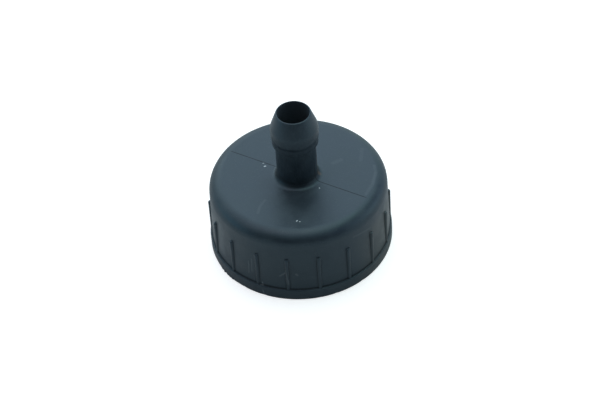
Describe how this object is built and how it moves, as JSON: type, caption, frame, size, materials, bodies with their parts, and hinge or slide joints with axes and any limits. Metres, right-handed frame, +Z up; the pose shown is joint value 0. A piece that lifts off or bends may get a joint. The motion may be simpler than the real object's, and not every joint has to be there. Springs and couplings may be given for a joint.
{
  "type": "hydraulic tank cap",
  "caption": "Round ribbed screw cap for a tank neck, with a straight hose barb rising from the middle of its flat top and a washer under its roof.",
  "frame": {"origin": "centre of the rim's lower face, on the axis of the cap", "axes": "+Z up along the hose barb, -Y towards the side that the picture shows"},
  "size_m": [0.058, 0.058, 0.052],
  "materials": {
    "cap_plastic": "satin black moulded plastic, faintly blue",
    "washer_rubber": "plain black rubber"
  },
  "bodies": {
    "root": {"cap_body": "cap_plastic", "sealing_washer": "washer_rubber"}
  },
  "joints": []
}
